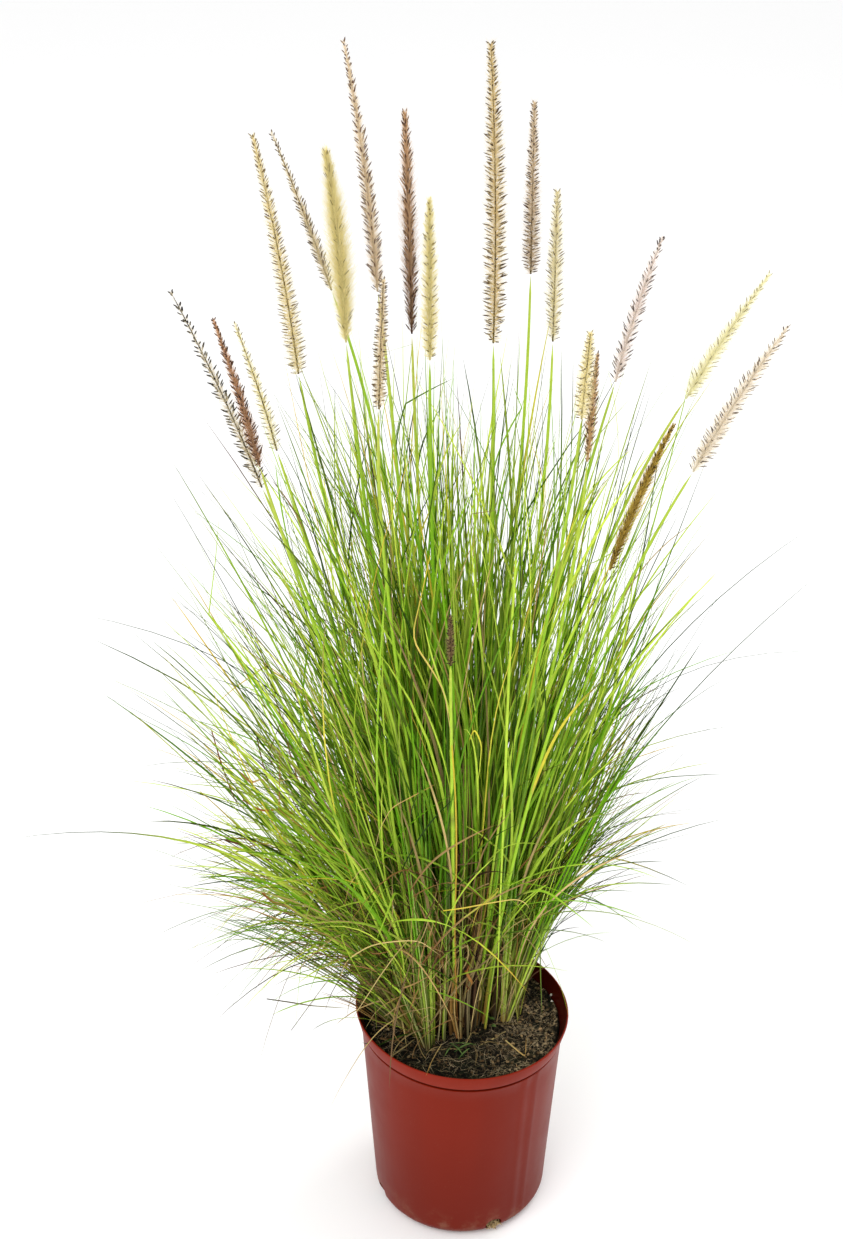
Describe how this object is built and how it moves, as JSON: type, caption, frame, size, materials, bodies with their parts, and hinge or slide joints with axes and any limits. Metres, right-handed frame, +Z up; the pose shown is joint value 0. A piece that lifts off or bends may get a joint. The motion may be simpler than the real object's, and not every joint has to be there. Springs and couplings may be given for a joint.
{
  "type": "potted fountain grass clump",
  "caption": "Clump of fountain grass with arching narrow blades and bristly flower heads on tall stems, growing in a round plastic nursery pot.",
  "frame": {"origin": "centre of the pot's flat underside", "axes": "+Z up, -Y towards the front of the clump, where the soil is bare"},
  "size_m": [0.6039, 0.4774, 0.9182],
  "materials": {
    "pot_plastic": "red-brown blow-moulded plastic, satin gloss, dusty near the foot",
    "potting_soil": "dark moist peat and bark mix with root fibres",
    "leaf_green": "fresh green grass blade, faintly ribbed, soft sheen",
    "dead_leaf": "dry brown sheaths and blades",
    "stem_green": "smooth green flowering stem with darker nodes",
    "plume_tan": "tan bristles with brown spikelet tips",
    "plume_cream": "cream to pale yellow-green bristles and spikelets",
    "plume_brown": "dense reddish-brown spikelets and bristles",
    "plume_purple": "pale bristles with dark purplish spikelets"
  },
  "bodies": {
    "root": {"pot": "pot_plastic", "soil": "potting_soil", "leaf_tuft_01": "leaf_green", "leaf_tuft_02": "leaf_green", "leaf_tuft_03": "leaf_green", "leaf_tuft_04": "leaf_green", "leaf_tuft_05": "leaf_green", "leaf_tuft_06": "leaf_green", "leaf_tuft_07": "leaf_green", "leaf_tuft_08": "leaf_green", "leaf_tuft_09": "leaf_green", "leaf_tuft_10": "leaf_green", "leaf_tuft_11": "leaf_green", "leaf_tuft_12": "leaf_green", "leaf_tuft_13": "leaf_green", "leaf_tuft_14": "leaf_green", "leaf_tuft_15": "leaf_green", "dead_stalks": "dead_leaf", "flower_stem_01": "stem_green", "plume_01": "plume_purple", "flower_stem_02": "stem_green", "plume_02": "plume_brown", "flower_stem_03": "stem_green", "plume_03": "plume_cream", "flower_stem_04": "stem_green", "plume_04": "plume_tan", "flower_stem_05": "stem_green", "plume_05": "plume_purple", "flower_stem_06": "stem_green", "plume_06": "plume_cream", "flower_stem_07": "stem_green", "plume_07": "plume_tan", "flower_stem_08": "stem_green", "plume_08": "plume_tan", "flower_stem_09": "stem_green", "plume_09": "plume_brown", "flower_stem_10": "stem_green", "plume_10": "plume_cream", "flower_stem_11": "stem_green", "plume_11": "plume_tan", "flower_stem_12": "stem_green", "plume_12": "plume_purple", "flower_stem_13": "stem_green", "plume_13": "plume_cream", "flower_stem_14": "stem_green", "plume_14": "plume_tan", "flower_stem_15": "stem_green", "plume_15": "plume_brown", "flower_stem_16": "stem_green", "plume_16": "plume_purple", "flower_stem_17": "stem_green", "plume_17": "plume_cream", "flower_stem_18": "stem_green", "plume_18": "plume_purple", "flower_stem_19": "stem_green", "plume_19": "plume_brown", "flower_stem_20": "stem_green", "plume_20": "plume_brown"}
  },
  "joints": []
}
